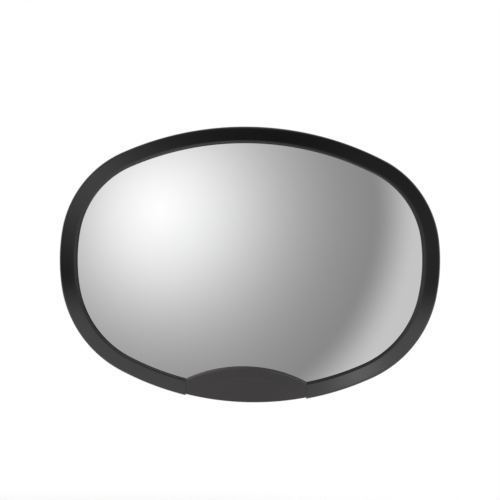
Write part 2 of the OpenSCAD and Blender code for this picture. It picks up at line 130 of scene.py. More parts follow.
def half_outline(side, ends, stop_x=0.0):
    """Points of the right half from the top; the bottom arc stops where it comes to x = stop_x."""
    points = []
    for (centre, radius, start, end), steps in zip(arcs(side, ends), ARC_STEPS):
        if end == math.pi:
            end = math.pi - math.asin(stop_x / radius)
        for i in range(steps):
            angle = start + (end - start) * i / steps
            points.append(centre + radius * Vector((math.sin(angle), math.cos(angle))))
    points.append(centre + radius * Vector((math.sin(end), math.cos(end))))
    return points


def closed_outline(side, ends):
    """The whole outline as one loop of (x, z), clockwise from the top."""
    half = half_outline(side, ends)
    return half + [Vector((-p.x, p.y)) for p in reversed(half[1:-1])]


def open_outline(side, ends, stop_x):
    """The outline without the stretch at the bottom between -stop_x and stop_x, from end to end."""
    half = half_outline(side, ends, stop_x)
    return [Vector((-p.x, p.y)) for p in reversed(half[1:])] + half


def on_layer(p, radius):
    """The point over (x, z) on a sphere of this radius about the middle of the mirror's sphere."""
    return Vector((p.x, DOME_Y - math.sqrt(radius * radius - p.x * p.x - p.y * p.y), p.y))


# ---------------------------------------------------------------- mesh building

def make_piece(name, mesh_maker, material, body, replaces, sharp_angle=40):
    """Runs mesh_maker on a new bmesh and turns the result into a named piece of the object."""
    bm = bmesh.new()
    mesh_maker(bm)
    bmesh.ops.remove_doubles(bm, verts=bm.verts, dist=1e-7)
    bmesh.ops.recalc_face_normals(bm, faces=bm.faces)
    mesh = bpy.data.meshes.new(name)
    bm.to_mesh(mesh)
    bm.free()
    mesh.polygons.foreach_set("use_smooth", [True] * len(mesh.polygons))
    mesh.set_sharp_from_angle(angle=math.radians(sharp_angle))
    piece = bpy.data.objects.new(name, mesh)
    bpy.context.scene.collection.objects.link(piece)
    mesh.materials.append(material)
    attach(piece, body)
    if replaces:
        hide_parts(*replaces)


def skin(bm, rings):
    """Joins closed rings of vertices, all with the same count, by quads from each to the next."""
    count = len(rings[0])
    for near, far in zip(rings, rings[1:]):
        for i in range(count):
            j = (i + 1) % count
            bm.faces.new((near[i], near[j], far[j], far[i]))


def loft(bm, sections):
    """A solid skinned over closed sections of points, with both ends closed."""
    rings = [[bm.verts.new(p) for p in section] for section in sections]
    skin(bm, rings)
    ends = [bm.faces.new(list(reversed(rings[0]))), bm.faces.new(rings[-1])]
    bmesh.ops.triangulate(bm, faces=ends)


def quarter_round(radius, steps=5, depth=None):
    """Steps round a convex edge, as (distance in from the side, distance below the face).

    The edge is a quarter of a circle, or of an ellipse if its depth is given as well.
    """
    depth = depth or radius
    turns = [i * math.pi / 2 / steps for i in range(steps + 1)]
    return [(radius * (1 - math.cos(t)), depth * (1 - math.sin(t))) for t in turns]


def turned(bm, rows, place, segments=72):
    """A solid made of closed rings along its own axis.

    rows are (height, radius) from one end to the other, where a radius is a number or a function of the
    angle, and place(radius, angle, height) says where a point lies. Both ends are closed.
    """
    rings = []
    for height, radius in rows:
        ring = []
        for i in range(segments):
            angle = 2 * math.pi * i / segments
            reach = radius(angle) if callable(radius) else radius
            ring.append(place(reach, angle, height))
        rings.append(ring)
    loft(bm, rings)


def trimmed(shape, inset=0.0, limit=1.0):
    """A radius function moved in by an inset and cut off at a limit."""
    return lambda angle: min(shape(angle) - inset, limit)


def hexagon(across_flats):
    """The radius of a hexagon with a corner at angle 0."""
    sixth = math.pi / 3
    return lambda angle: across_flats / 2 / math.cos(angle % sixth - sixth / 2)


def thread_rows(start, end, radius, pitch, depth, steps=8):
    """Rows of a right-hand screw thread, as turned() takes them."""
    steepness = 1.25
    crest_width = 0.12
    count = round(abs(end - start) / pitch * steps)
    rows = []
    for i in range(count + 1):
        height = start + (end - start) * i / count

        def crest(angle, height=height):
            turn = (height / pitch - angle / (2 * math.pi)) % 1.0
            flank = abs(2 * turn - 1)
            return radius - depth * max(0.0, min(1.0, steepness * flank - crest_width))

        rows.append((height, crest))
    return rows


# ---------------------------------------------------------------- materials

# The range that most of a noise's values lie in
NOISE_LOW = 0.3
NOISE_HIGH = 0.7


def node(tree, kind, **settings):
    """A new shader node of this kind, with its settings."""
    made = tree.nodes.new(kind)
    for key, value in settings.items():
        setattr(made, key, value)
    return made


def noise(tree, scale, detail=3.0, roughness=0.5, stretch=None):
    """A noise fixed to the object, with its scale in features per metre."""
    coords = node(tree, "ShaderNodeTexCoord")
    source = coords.outputs["Object"]
    if stretch:
        mapping = node(tree, "ShaderNodeMapping")
        mapping.inputs["Scale"].default_value = stretch
        tree.links.new(source, mapping.inputs["Vector"])
        source = mapping.outputs["Vector"]
    made = node(tree, "ShaderNodeTexNoise")
    made.inputs["Scale"].default_value = scale
    made.inputs["Detail"].default_value = detail
    made.inputs["Roughness"].default_value = roughness
    tree.links.new(source, made.inputs["Vector"])
    return made.outputs["Fac"]


def spread(tree, value, low, high, from_low=NOISE_LOW, from_high=NOISE_HIGH):
    """Maps a value onto the range from low to high, from a noise's usual range unless another is given."""
    made = node(tree, "ShaderNodeMapRange")
    made.inputs["From Min"].default_value = from_low
    made.inputs["From Max"].default_value = from_high
    made.inputs["To Min"].default_value = low
    made.inputs["To Max"].default_value = high
    tree.links.new(value, made.inputs["Value"])
    return made.outputs["Result"]


def two_tone(tree, value, dark, light):
    """Blends two colours by a noise."""
    ramp = node(tree, "ShaderNodeValToRGB")
    ramp.color_ramp.elements[0].position = NOISE_LOW
    ramp.color_ramp.elements[0].color = (*dark, 1)
    ramp.color_ramp.elements[1].position = NOISE_HIGH
    ramp.color_ramp.elements[1].color = (*light, 1)
    tree.links.new(value, ramp.inputs["Fac"])
    return ramp.outputs["Color"]


def bump(tree, value, height, normal=None):
    """Bumps of this height over the normal that came before."""
    made = node(tree, "ShaderNodeBump")
    made.inputs["Strength"].default_value = 1.0
    made.inputs["Distance"].default_value = height
    tree.links.new(value, made.inputs["Height"])
    if normal:
        tree.links.new(normal, made.inputs["Normal"])
    return made.outputs["Normal"]


def finish_material(name, dark, light, rough, metallic=0.0, patch=14, grains=(), brushed=None, **sockets):
    """A finish with patches of tone and gloss, and grains given as (features per metre, height).

    patch is the tone's features per metre, and the gloss varies gloss_fineness times as finely.
    """
    gloss_fineness = 5
    material = bpy.data.materials.new(name)
    material.use_nodes = True
    tree = material.node_tree
    shader = tree.nodes["Principled BSDF"]
    shader.inputs["Metallic"].default_value = metallic
    for key, value in sockets.items():
        shader.inputs[key.replace("_", " ")].default_value = value
    cloud = noise(tree, patch, detail=4)
    tree.links.new(two_tone(tree, cloud, dark, light), shader.inputs["Base Color"])
    gloss = noise(tree, patch * gloss_fineness, detail=5, roughness=0.6, stretch=brushed)
    tree.links.new(spread(tree, gloss, *rough), shader.inputs["Roughness"])
    normal = None
    for scale, height in grains:
        normal = bump(tree, noise(tree, scale, detail=2, stretch=brushed), height, normal)
    if normal:
        tree.links.new(normal, shader.inputs["Normal"])
    return material


def grey(level, warmth=0.0):
    """A grey, with its red raised and its blue lowered by the warmth."""
    return (level * (1 + warmth), level, level * (1 - warmth))


RIM = finish_material("rim_abs", grey(0.0040, 0.03), grey(0.0060, 0.03), (0.09, 0.12), patch=9,
                      grains=((2600, 0.0000015), (520, 0.000003)), Specular_IOR_Level=0.7)
COVER = finish_material("cover_abs", (0.038, 0.034, 0.037), (0.046, 0.041, 0.044), (0.40, 0.48), patch=14,
                        grains=((2600, 0.000006), (420, 0.00001)))


def paint_cover_edge_highlight():
    """A painted highlight: a lighter tone along the cover's upper edge, strongest near both ends.

    It stands in for a thin light line that the photo shows there.
    """
    # The colour of the highlight painted along the cover's upper edge
    highlight_tone = (0.105, 0.098, 0.108, 1)
    most = 0.8
    share_at_middle = 0.35
    line_start = COVER_R - 2.2 * MM
    line_full = COVER_R - 0.9 * MM
    middle_end = 10 * MM
    ends_start = 45 * MM
    arc_centre_z = COVER_INSET + COVER_H - HEAD_TOP - COVER_R

    tree = COVER.node_tree
    shader = tree.nodes["Principled BSDF"]
    plain = shader.inputs["Base Color"].links[0].from_socket
    place = node(tree, "ShaderNodeTexCoord").outputs["Object"]
    # The distance from the centre of the upper edge's arc, seen along Y
    from_centre = node(tree, "ShaderNodeVectorMath", operation="MULTIPLY_ADD")
    tree.links.new(place, from_centre.inputs[0])
    from_centre.inputs[1].default_value = (1, 0, 1)
    from_centre.inputs[2].default_value = (0, 0, -arc_centre_z)
    reach = node(tree, "ShaderNodeVectorMath", operation="LENGTH")
    tree.links.new(from_centre.outputs["Vector"], reach.inputs[0])
    near_edge = spread(tree, reach.outputs["Value"], 0, most, line_start, line_full)
    # The distance from the middle along X
    axes = node(tree, "ShaderNodeSeparateXYZ")
    tree.links.new(place, axes.inputs["Vector"])
    sideways = node(tree, "ShaderNodeMath", operation="ABSOLUTE")
    tree.links.new(axes.outputs["X"], sideways.inputs[0])
    near_ends = spread(tree, sideways.outputs["Value"], share_at_middle, 1.0, middle_end, ends_start)

    share = node(tree, "ShaderNodeMath", operation="MULTIPLY")
    tree.links.new(near_edge, share.inputs[0])
    tree.links.new(near_ends, share.inputs[1])
    mix = node(tree, "ShaderNodeMix", data_type="RGBA")
    tree.links.new(share.outputs["Value"], mix.inputs["Factor"])
    tree.links.new(plain, mix.inputs["A"])
    mix.inputs["B"].default_value = highlight_tone
    tree.links.new(mix.outputs["Result"], shader.inputs["Base Color"])


# Paints a highlight into the cover's colour along its upper edge
paint_cover_edge_highlight()

SHELL = finish_material("shell_abs", grey(0.014), grey(0.019), (0.50, 0.60), patch=11,
                        grains=((1900, 0.00005), (700, 0.00003)))
MIRROR = finish_material("mirror_acrylic", (0.885, 0.887, 0.89), (0.90, 0.90, 0.90), (0.015, 0.035),
                         metallic=1.0, patch=6, grains=((14, 0.000004),))
GASKET = finish_material("gasket_epdm", grey(0.008), grey(0.012), (0.70, 0.80), patch=60,
                         grains=((3000, 0.00004),))
FOAM = finish_material("foam", grey(0.035), grey(0.06), (0.9, 0.97), patch=500, grains=((1600, 0.0002),))
PAD_RUBBER = finish_material("pad_rubber", grey(0.020), grey(0.030), (0.78, 0.88), patch=120,
                             grains=((1500, 0.00008),))
POWDER = finish_material("powder_coat", grey(0.018), grey(0.025), (0.38, 0.48), patch=22,
                         grains=((900, 0.00009), (260, 0.00005)))
TUBE = finish_material("tube_coat", grey(0.018), grey(0.024), (0.30, 0.38), patch=22,
                       grains=((700, 0.00006), (200, 0.00004)))
CASTING = finish_material("cast_black", grey(0.017), grey(0.024), (0.42, 0.55), patch=40,
                          grains=((1500, 0.00012), (380, 0.0001)))
ZINC = finish_material("zinc_plate", (0.50, 0.52, 0.55), (0.66, 0.66, 0.65), (0.22, 0.36), metallic=1.0,
                       patch=90, grains=((1800, 0.00001),))
SPRING_STEEL = finish_material("spring_steel", grey(0.22), grey(0.32), (0.28, 0.42), metallic=1.0, patch=120,
                               brushed=(1, 1, 0.1), grains=((2400, 0.00001),))
HUB_NYLON = finish_material("hub_nylon", grey(0.014), grey(0.020), (0.42, 0.52), patch=30,
                            grains=((1400, 0.00006),))
WHITE_NYLON = finish_material("white_nylon", (0.58, 0.55, 0.46), (0.68, 0.65, 0.57), (0.36, 0.46), patch=80,
                              grains=((1200, 0.00002),), Subsurface_Weight=0.2, Subsurface_Scale=0.002)
KNOB = finish_material("knob_nylon", grey(0.012), grey(0.017), (0.34, 0.44), patch=50,
                       grains=((1500, 0.00005),))
BRASS = finish_material("brass", (0.60, 0.43, 0.17), (0.72, 0.54, 0.24), (0.2, 0.32), metallic=1.0, patch=150,
                        grains=((2600, 0.00001),))
DISC_FIBRE = finish_material("disc_fibre", (0.17, 0.18, 0.16), (0.30, 0.31, 0.28), (0.8, 0.9), patch=700,
                             grains=((1600, 0.00012),))
BLACK_SCREW = finish_material("black_oxide", grey(0.02), grey(0.035), (0.32, 0.46), metallic=0.7, patch=160,
                              grains=((2200, 0.00001),))


# ---------------------------------------------------------------- the head

def rim_profile():
    """The rim's closed section as (side inset, end inset, layer radius), from the back round the outside."""
    edge_r = 1.9 * MM
    lip_r = 0.8 * MM
    lip_depth = 1.4 * MM
    foot = 0.35 * MM
    # The face falls a little towards the outside
    outer_face = BAND_R - 0.35 * MM
    wall_steps = 4
    round_steps = 7
    face_steps = 9
    rows = [(foot, foot, RIM_BACK_R), (0, 0, RIM_BACK_R + foot)]
    wall_top = outer_face - edge_r
    for i in range(1, wall_steps):
        rows.append((0, 0, RIM_BACK_R + foot + (wall_top - RIM_BACK_R - foot) * i / wall_steps))
    for inward, below in quarter_round(edge_r, round_steps):
        rows.append((inward, inward, outer_face - below))
    side_face = BAND_SIDES - lip_r - edge_r
    end_face = BAND_ENDS - lip_r - edge_r
    for i in range(1, face_steps + 1):
        t = i / face_steps
        rows.append((edge_r + side_face * t, edge_r + end_face * t, outer_face + (BAND_R - outer_face) * t))
    for inward, below in reversed(quarter_round(lip_r, round_steps, lip_depth)[:-1]):
        rows.append((BAND_SIDES - inward, BAND_ENDS - inward, BAND_R - below))
    rows.append((BAND_SIDES, BAND_ENDS, SKIRT_FOOT_R))
    rows.append((BAND_SIDES - SKIRT_T, BAND_ENDS - SKIRT_T, SKIRT_FOOT_R))
    rows.append((BAND_SIDES - SKIRT_T, BAND_ENDS - SKIRT_T, BAND_BACK_R))
    rows.append((RIM_WALL_T, RIM_WALL_T, BAND_BACK_R))
    rows.append((RIM_WALL_T, RIM_WALL_T, RIM_BACK_R))
    return rows


def build_rim(bm):
    """The rim's profile, swept round the outline from one side of the gap at the bottom to the other."""
    rows = [
        [on_layer(p, radius) for p in open_outline(side, ends, RIM_GAP_HALF)]
        for side, ends, radius in rim_profile()
    ]
    loft(bm, [list(section) for section in zip(*rows)])


make_piece("rim", build_rim, RIM, "head", ["rim_frame"], sharp_angle=35)


def build_lens(bm):
    """The domed acrylic: rings that shrink towards the apex on both faces, with a chamfered edge."""
    edge = closed_outline(LENS_INSET, LENS_INSET)
    chamfer = 0.3 * MM
    front_rings = 84
    back_rings = 20
    back_r = DOME_R - LENS_T
    inner = closed_outline(LENS_INSET + chamfer, LENS_INSET + chamfer)

    def rings(outline, radius, count):
        made = []
        for i in range(count):
            scale = 1 - i / count
            made.append([bm.verts.new(on_layer(p * scale, radius)) for p in outline])
        return made

    front = rings(inner, DOME_R, front_rings)
    back = rings(inner, back_r, back_rings)
    sides = [[bm.verts.new(on_layer(p, r)) for p in edge] for r in (back_r + chamfer, DOME_R - chamfer)]
    stack = list(reversed(back)) + sides + front
    skin(bm, stack)
    count = len(edge)
    for last, radius in ((front[-1], DOME_R), (back[-1], back_r)):
        apex = bm.verts.new(on_layer(Vector((0, 0)), radius))
        for i in range(count):
            bm.faces.new((last[i], last[(i + 1) % count], apex))


make_piece("mirror", build_lens, MIRROR, "head", ["mirror_lens"], sharp_angle=30)


def cover_top(x):
    """Height of the cover's upper edge at x."""
    apex = COVER_INSET + COVER_H - HEAD_TOP
    return apex - COVER_R + math.sqrt(COVER_R * COVER_R - x * x)


def cover_bottom(x, inset=COVER_INSET):
    """Height of the cover's lower edge at x, for an inset from the rim's outline."""
    radius = BOTTOM_R - inset
    return BOTTOM_R - HEAD_TOP - math.sqrt(radius * radius - x * x)


def smooth(t):
    """Eases from 0 to 1 as t does."""
    return t * t * (3 - 2 * t)


PANEL_DROP = 11.5 * MM
PANEL_HALF = 52 * MM
PANEL_CORNER_H = 2.2 * MM


def panel_edge(x):
    """Height of the arc where the cover's face steps down to its inner panel."""
    apex = cover_top(0) - PANEL_DROP
    corner = cover_bottom(PANEL_HALF) + PANEL_CORNER_H
    sag = apex - corner
    radius = (PANEL_HALF * PANEL_HALF + sag * sag) / (2 * sag)
    farthest = PANEL_HALF * 1.15
    reach = min(abs(x), farthest)
    return apex - radius + math.sqrt(radius * radius - reach * reach)


def build_cover(bm):
    """The lower cover: closed sections from end to end, with rounded edges and a shallow inner panel."""
    edge_r = 1.0 * MM
    upper_depth = 1.8 * MM
    end_r = 0.2 * MM
    panel_depth = 0.07 * MM
    panel_blend = 0.9 * MM
    panel_margin = 0.6 * MM
    fade_length = 4 * MM
    rise_start = 0.75
    columns = 150
    upper_rows = 9
    blend_rows = 4
    panel_rows = 22
    rounding = quarter_round(edge_r, 6)
    upper_rounding = quarter_round(edge_r, 8, upper_depth)

    def end_drop(x):
        """How far the face is rounded down at x, near both ends."""
        near = COVER_HALF - abs(x)
        if near >= end_r:
            return 0.0
        return end_r - math.sqrt(end_r * end_r - (end_r - near) ** 2)

    def stations():
        """Places along X, close together at both ends."""
        ends = [COVER_HALF - inward for inward, _ in quarter_round(end_r, 5)]
        inner = COVER_HALF - end_r
        middle = [-inner + 2 * inner * i / columns for i in range(1, columns)]
        return [-x for x in ends] + middle + list(reversed(ends))

    sections = []
    for x in stations():
        top = cover_top(x)
        low = cover_bottom(x)
        crown = 1 - (abs(x) / COVER_HALF) ** 4
        face = BAND_R + (COVER_FACE_R - BAND_R) * crown - end_drop(x)
        step = max(panel_edge(x), low + edge_r + panel_margin)
        section = [(top - SKIRT_T, BAND_BACK_R), (top - SKIRT_T, SKIRT_FOOT_R), (top, SKIRT_FOOT_R)]
        section += [(top - inward, face - below) for inward, below in upper_rounding]
        first = top - edge_r
        step_high = min(step + panel_blend / 2, first - 0.2 * MM)
        for i in range(1, upper_rows + 1):
            section.append((first + (step_high - first) * i / upper_rows, face))
        last = low + edge_r
        fade = min(1.0, max(0.0, (step_high - last) / fade_length))
        depth = panel_depth * fade
        step_low = max(step_high - panel_blend, last + 0.1 * MM)
        for i in range(1, blend_rows + 1):
            down = i / blend_rows
            section.append((step_high + (step_low - step_high) * down, face - depth * smooth(down)))
        for i in range(1, panel_rows + 1):
            down = i / panel_rows
            rise = max(0.0, (down - rise_start) / (1 - rise_start))
            section.append((step_low + (last - step_low) * down, face - depth * (1 - smooth(rise))))
        section += [(low + inward, face - below) for inward, below in reversed(rounding[:-1])]
        section.append((low, RIM_BACK_R))
        inner_low = cover_bottom(x, RIM_WALL_T)
        section.append((inner_low, RIM_BACK_R))
        section.append((inner_low, BAND_BACK_R))
        sections.append([on_layer(Vector((x, z)), radius) for z, radius in section])
    loft(bm, sections)


make_piece("cover", build_cover, COVER, "head", ["lower_cover"], sharp_angle=35)


# ---------------------------------------------------------------- bolts, nut and knobs

def about_x(centre):
    """Places a turned solid along X, with angle 0 pointing down."""
    return lambda radius, angle, height: Vector((height, centre.y + radius * math.sin(angle),
                                                 centre.z - radius * math.cos(angle)))


def about_z(centre):
    """Places a turned solid along Z, with angle 0 along X."""
    return lambda radius, angle, height: Vector((centre.x + radius * math.cos(angle),
                                                 centre.y + radius * math.sin(angle), height))


def middle(node_name):
    """The middle of a CAD node's box."""
    low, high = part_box(node_name)
    return (low + high) / 2


M8_R = 4 * MM
M8_PITCH = 1.25 * MM
M8_FLATS = 13 * MM
M8_THREAD_H = 0.45 * MM
# A bolt's tip is smaller by this much, and its thread begins this far from the tip
M8_TIP_DROP = 0.7 * MM
M8_TIP_H = 0.6 * MM
PAN_LOW, PAN_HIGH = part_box("pan_bolt")
PAN_HEAD_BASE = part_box("pan_washers")[1].z
NUT_LOW, NUT_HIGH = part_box("pan_nut")


def hex_chamfer(face, inward, steps=6):
    """Rows of a hexagon's chamfered end, from its face; inward is +1 or -1 along the axis."""
    hexa = hexagon(M8_FLATS)
    start_r = 6.2 * MM
    drop = 0.8 * MM
    slope = 1.75
    rows = []
    for i in range(steps + 1):
        down = drop * i / steps
        rows.append((face + inward * down, trimmed(hexa, limit=start_r + slope * down)))
    return rows


def build_pan_bolt(bm):
    """A hexagon bolt that stands head up, threaded as far as its nut reaches."""
    runout = 0.3 * MM
    head = hex_chamfer(PAN_HIGH.z, -1)
    tail = thread_rows(PAN_LOW.z + M8_TIP_H, NUT_HIGH.z, M8_R, M8_PITCH, M8_THREAD_H)
    rows = [(PAN_LOW.z, M8_R - M8_TIP_DROP)] + tail + [(NUT_HIGH.z + runout, M8_R)]
    rows += [(PAN_HEAD_BASE, M8_R), (PAN_HEAD_BASE, hexagon(M8_FLATS))] + list(reversed(head))
    turned(bm, rows, about_z(middle("pan_bolt")))


make_piece("pan_bolt_detailed", build_pan_bolt, ZINC, "wall", ["pan_bolt"], sharp_angle=28)


def build_pan_nut(bm):
    """A hexagon nut whose round collar holds a nylon ring."""
    collar_r = 5.9 * MM
    collar_top = NUT_LOW.z + 2.5 * MM
    bore = M8_R + 0.35 * MM
    lip = 0.7 * MM
    ring_floor = NUT_LOW.z + 0.9 * MM
    rows = [(ring_floor, bore), (ring_floor, 5.0 * MM), (NUT_LOW.z, 5.05 * MM)]
    rows += [(NUT_LOW.z + below, collar_r - inward) for inward, below in reversed(quarter_round(lip))]
    rows += [(collar_top, collar_r)] + hex_chamfer(collar_top, 1)
    rows += list(reversed(hex_chamfer(NUT_HIGH.z, -1)))
    turned(bm, rows, about_z(middle("pan_nut")))


make_piece("pan_nut_detailed", build_pan_nut, ZINC, "wall", ["pan_nut"], sharp_angle=28)


def build_nut_ring(bm):
    """The nylon ring that grips the thread."""
    base = NUT_LOW.z + 0.85 * MM
    face = NUT_LOW.z + 0.25 * MM
    outer_r = 4.95 * MM
    inner_r = 4.1 * MM
    edge_h = 0.1 * MM
    edge_w = 0.15 * MM
    rows = [(base, outer_r), (face + edge_h, outer_r), (face, outer_r - edge_w)]
    rows += [(face, inner_r + edge_w), (base, inner_r)]
    turned(bm, rows, about_z(middle("pan_nut")))


make_piece("pan_nut_ring", build_nut_ring, WHITE_NYLON, "wall", [])


TILT_LOW, TILT_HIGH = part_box("tilt_bolt")
FORK_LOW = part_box("tilt_fork")[0]
TILT_AXIS = middle("knob_insert")
KNOB_LOW, KNOB_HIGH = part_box("tilt_knob")


def build_tilt_bolt(bm):
    """A cup-head bolt: a low dome on one side of the fork, and a thread in the knob."""
    head_r = 8.5 * MM
    height = FORK_LOW.x - TILT_LOW.x
    cap_r = (head_r * head_r + height * height) / (2 * height)
    head_edge = 0.15 * MM
    shank_end = KNOB_LOW.x + 6 * MM
    thread_start = KNOB_LOW.x + 6.5 * MM
    rows = []
    steps = 14
    for i in range(1, steps + 1):
        radius = head_r * i / steps
        rows.append((TILT_LOW.x + cap_r - math.sqrt(cap_r * cap_r - radius * radius), radius))
    rows.append((FORK_LOW.x, head_r - head_edge))
    rows += [(FORK_LOW.x, M8_R), (shank_end, M8_R)]
    rows += thread_rows(thread_start, TILT_HIGH.x - M8_TIP_H, M8_R, M8_PITCH, M8_THREAD_H)
    rows.append((TILT_HIGH.x, M8_R - M8_TIP_DROP))
    turned(bm, rows, about_x(TILT_AXIS))


make_piece("tilt_bolt_detailed", build_tilt_bolt, ZINC, "arm", ["tilt_bolt"], sharp_angle=28)


def star(core_r, lobe_at, lobe_r, lobes, softness):
    """The radius of a round core with lobes, with soft valleys between them."""
    def radius(angle):
        step = 2 * math.pi / lobes
        off = abs((angle + step / 2) % step - step / 2)
        across = lobe_at * math.sin(off)
        lobe = lobe_at * math.cos(off) + math.sqrt(max(lobe_r * lobe_r - across * across, 0.0))
        if across > lobe_r:
            lobe = 0.0
        return softness * math.log(math.exp(core_r / softness) + math.exp(lobe / softness))
    return radius


def build_tilt_knob(bm):
    """The star grip: a collar, five soft lobes, and a dish round the bolt's end."""
    grip = star(core_r=13.6 * MM, lobe_at=13.9 * MM, lobe_r=5.9 * MM, lobes=5, softness=0.9 * MM)
    collar_r = 9 * MM
    collar_h = 4 * MM
    collar_edge = 0.6 * MM
    bore_r = 4.3 * MM
    back_edge = 1.4 * MM
    front_edge = 2.6 * MM
    dish_r = 9.2 * MM
    dish_h = 1.2 * MM
    base = KNOB_LOW.x
    face = KNOB_HIGH.x
    under = base + collar_h

    # The collar and its fillet
    rows = [(base + collar_edge, bore_r), (base, bore_r + 0.4 * MM)]
    rows += [(base + below, collar_r - inward) for inward, below in reversed(quarter_round(collar_edge, 4))]
    rows += [(under - 0.8 * MM, collar_r), (under - 0.25 * MM, collar_r + 0.25 * MM)]
    rows += [(under, collar_r + 0.8 * MM)]
    # The lobes
    rows += [(under + below, trimmed(grip, inward)) for inward, below in reversed(quarter_round(back_edge))]
    rows += [(under + (face - under) * t, trimmed(grip)) for t in (0.3, 0.5, 0.65)]
    rows += [(face - below, trimmed(grip, inward)) for inward, below in quarter_round(front_edge, 8)]
    # The dish and the bore
    rows += [(face, trimmed(grip, front_edge + 1 * MM, dish_r + 1.2 * MM)), (face - 0.15 * MM, dish_r)]
    rows += [(face - 0.9 * MM, dish_r - 0.5 * MM), (face - dish_h, dish_r - 1.2 * MM)]
    rows += [(face - dish_h, bore_r + 0.5 * MM), (face - dish_h - 0.4 * MM, bore_r)]
    rows += [(face - 3 * MM, bore_r)]
    turned(bm, rows, about_x(TILT_AXIS), segments=180)


make_piece("star_knob", build_tilt_knob, KNOB, "knob", ["tilt_knob"], sharp_angle=42)


GRIP_LOW, GRIP_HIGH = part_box("lock_knob")
LOCK_AXIS = middle("lock_screw")
LOCK_LOW, LOCK_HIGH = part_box("lock_screw")


def build_lock_knob(bm):
    """The small ridged grip under the hub, with a neck towards it and a shallow dish below."""
    grip = star(core_r=8.95 * MM, lobe_at=9 * MM, lobe_r=1.05 * MM, lobes=12, softness=0.12 * MM)
    neck_r = 6 * MM
    bore_r = 3.2 * MM
    dish_h = 0.8 * MM
    low = GRIP_LOW.z
    grip_middle = low + 5 * MM
    shoulder = low + 10 * MM
    top = GRIP_HIGH.z
    rows = [(low + dish_h, 3.5 * MM), (low + dish_h, 6 * MM), (low + 0.2 * MM, 6.8 * MM)]
    rows += [(low + below, trimmed(grip, inward)) for inward, below in reversed(quarter_round(1.3 * MM, 6))]
    rows += [(grip_middle, trimmed(grip))]
    rows += [(shoulder - below, trimmed(grip, inward)) for inward, below in quarter_round(1 * MM)]
    rows += [(shoulder, neck_r + 0.9 * MM), (shoulder + 0.25 * MM, neck_r + 0.25 * MM)]
    rows += [(shoulder + 0.9 * MM, neck_r)]
    rows += [(top - below, neck_r - inward) for inward, below in quarter_round(0.5 * MM, 4)]
    rows += [(top, bore_r), (top - 1 * MM, bore_r - 0.1 * MM)]
    turned(bm, rows, about_z(LOCK_AXIS), segments=216)


make_piece("lock_grip", build_lock_knob, KNOB, "lock", ["lock_knob"], sharp_angle=42)


def build_lock_screw(bm):
    """The M6 thumb screw, with a plain tip that presses on the spigot."""
    screw_r = 3 * MM
    pitch = 1 * MM
    thread_h = 0.38 * MM
    start_h = 0.4 * MM
    tip_h = 2 * MM
    rows = [(LOCK_LOW.z, screw_r - start_h)]
    rows += thread_rows(LOCK_LOW.z + start_h, LOCK_HIGH.z - tip_h - start_h, screw_r, pitch, thread_h)
    rows += [(LOCK_HIGH.z - tip_h, screw_r - 0.5 * MM), (LOCK_HIGH.z, screw_r - 0.6 * MM)]
    turned(bm, rows, about_z(LOCK_AXIS), segments=48)


make_piece("lock_screw_detailed", build_lock_screw, ZINC, "lock", ["lock_screw"], sharp_angle=28)


# ---------------------------------------------------------------- screws in the back of the head

RIM_SCREW_ANGLES = (12, 45, 75, 105, 132, 160)
COVER_SCREW_ANGLES = (173.5,)
SCREW_INSET = 7.7 * MM
SCREW_R = 1.5 * MM
SCREW_HEAD_R = 3.1 * MM
SCREW_HEAD_H = 2.4 * MM
SEAT_R = DOME_R - 21 * MM
SEAT_DEPTH = 2.6 * MM
SCREW_TIP_R = DOME_R - 3 * MM


def outline_point(degrees, inset):
    """The point of the inset outline at a clockwise angle from +Z, on its right half."""
    angle = math.radians(degrees)
    for centre, radius, start, end in arcs(inset, inset):
        if start <= angle <= end:
            return centre + radius * Vector((math.sin(angle), math.cos(angle)))


def cross_recess(radius, angle):
    """How deep the driver's cross is at a point of the head, from 0 to 1."""
    half_arm = 0.5 * MM
    reach = 1.95 * MM
    slope = 0.2 * MM
    a, b = abs(radius * math.cos(angle)), abs(radius * math.sin(angle))
    end_slope = 3 * slope
    across = (half_arm - min(a, b)) / slope + 0.5
    along = (reach - max(a, b)) / end_slope + 0.5
    return max(0.0, min(1.0, across)) * max(0.0, min(1.0, along))


def screws(angles):
    """Makes pan-head screws along Y at these angles, on both halves of the head."""
    crown = 1 * MM
    recess = 1.1 * MM
    edge = 0.35 * MM
    point_r = 0.5 * MM
    point_h = 1.5 * MM
    face_rings = 20
    # The crown starts just inside the head's side, so that its slope stays finite there
    widest = 0.995

    def build(bm):
        for p in (outline_point(angle, SCREW_INSET) for angle in angles):
            seat = on_layer(p, SEAT_R).y - SEAT_DEPTH
            tip = on_layer(p, SCREW_TIP_R).y
            face = seat + SCREW_HEAD_H
            rows = [(tip, point_r), (tip + point_h, SCREW_R), (seat, SCREW_R)]
            rows += [(seat, SCREW_HEAD_R - edge), (seat + edge, SCREW_HEAD_R), (face - crown, SCREW_HEAD_R)]
            for i in range(face_rings, 0, -1):
                out = widest * i / face_rings
                rows.append((face - crown * (1 - math.sqrt(1 - out ** 2)), SCREW_HEAD_R * out))
            for side in (-1, 1):
                def place(radius, angle, height, x=side * p.x, z=p.y, on_face=face - crown):
                    sunk = recess * cross_recess(radius, angle) if height > on_face else 0.0
                    return Vector((x + radius * math.cos(angle), height - sunk, z + radius * math.sin(angle)))
                turned(bm, rows, place, segments=64)
    return build


make_piece("rim_screws_detailed", screws(RIM_SCREW_ANGLES), BLACK_SCREW, "head",
           ["rim_screws"])
make_piece("cover_screws_detailed", screws(COVER_SCREW_ANGLES), BLACK_SCREW, "head",
           ["cover_screws"])


# ---------------------------------------------------------------- CAD nodes that stay

